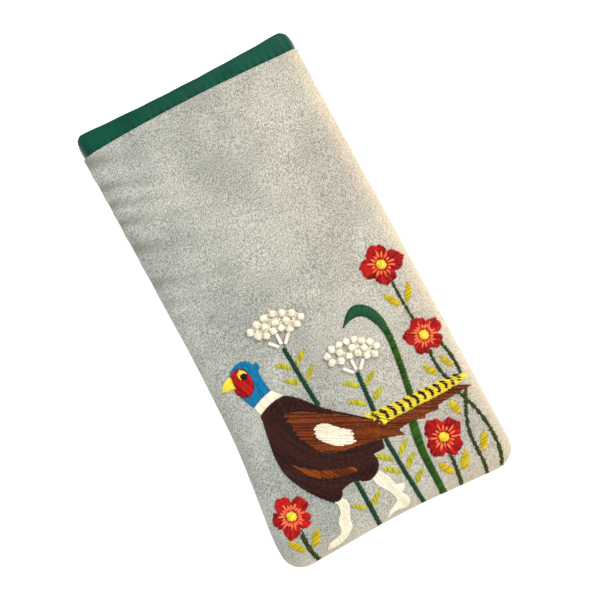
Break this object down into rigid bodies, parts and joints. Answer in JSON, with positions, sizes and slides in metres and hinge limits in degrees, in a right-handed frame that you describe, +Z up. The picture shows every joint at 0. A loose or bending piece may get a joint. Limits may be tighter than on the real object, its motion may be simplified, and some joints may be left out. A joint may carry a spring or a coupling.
{
  "type": "soft glasses pouch",
  "caption": "Flat padded velvet pouch for glasses, open at one end, with a satin mouth band and an embroidered and beaded front of a game bird among flowers.",
  "frame": {"origin": "middle of the overall box, on the surface that the pouch lies on", "axes": "+X across the pouch, +Y along it towards the open mouth, +Z up out of the embroidered front"},
  "size_m": [0.0955, 0.1839, 0.0143],
  "materials": {
    "velvet": "cotton velvet, short pale grey pile",
    "wadding": "matte polyester wadding",
    "lining_satin": "satin, deep green",
    "band_satin": "satin, deep green, folded over",
    "thread_band": "sewing thread, green",
    "thread_seam": "sewing thread, grey",
    "thread_blade": "stranded thread, teal to mid green",
    "thread_green": "stranded thread, deep green",
    "thread_olive": "stranded thread, olive",
    "thread_lime": "stranded thread, yellow green",
    "thread_mustard": "stranded thread, mustard",
    "thread_yellow": "stranded thread, yellow",
    "thread_brown": "stranded thread, very dark brown",
    "thread_black": "stranded thread, near black",
    "thread_red": "stranded thread, red",
    "thread_coral": "stranded thread, coral",
    "thread_blue": "stranded thread, blue",
    "thread_cream": "stranded thread, cream",
    "thread_rust": "stranded thread, rust",
    "thread_copper": "stranded thread, copper",
    "bead_ivory": "glossy ivory bead"
  },
  "bodies": {
    "back": {"back_panel": "velvet", "back_wadding": "wadding", "back_lining": "lining_satin", "back_mouth_band": "band_satin", "back_band_stitching": "thread_band", "seam_stitching": "thread_seam"},
    "front": {"front_band_stitching": "thread_band", "front_lining": "lining_satin", "front_mouth_band": "band_satin", "front_panel": "velvet", "front_wadding": "wadding", "grass_blade": "thread_blade", "pheasant_beak": "thread_yellow", "pheasant_body": "thread_brown", "pheasant_eye_pupil": "thread_black", "pheasant_eye_ring": "thread_yellow", "pheasant_face": "thread_red", "pheasant_far_leg": "thread_cream", "pheasant_flank_streak": "thread_copper", "pheasant_head": "thread_blue", "pheasant_near_leg": "thread_cream", "pheasant_neck_ring": "thread_cream", "pheasant_tail_bars": "thread_black", "pheasant_tail_upper": "thread_yellow", "pheasant_wing_and_tail": "thread_rust", "pheasant_wing_patch": "thread_cream", "poppy_leaves": "thread_mustard", "poppy_left_eye": "thread_yellow", "poppy_left_petals": "thread_red", "poppy_left_streaks": "thread_coral", "poppy_right_eye": "thread_yellow", "poppy_right_petals": "thread_red", "poppy_right_streaks": "thread_coral", "poppy_side_eye": "thread_yellow", "poppy_side_petals": "thread_red", "poppy_side_streaks": "thread_coral", "poppy_stems": "thread_olive", "poppy_top_eye": "thread_yellow", "poppy_top_petals": "thread_red", "poppy_top_streaks": "thread_coral", "umbel_left_bugle_beads": "bead_ivory", "umbel_left_leaves": "thread_lime", "umbel_left_round_beads": "bead_ivory", "umbel_left_stem": "thread_green", "umbel_right_bugle_beads": "bead_ivory", "umbel_right_leaves": "thread_lime", "umbel_right_round_beads": "bead_ivory", "umbel_right_stem": "thread_green"}
  },
  "joints": [
    {"name": "mouth_open", "type": "hinge", "parent": "back", "child": "front", "pos_m": [0, -0.0924, 0.006], "axis": [1, 0, 0], "range_deg": [0, 9]}
  ]
}
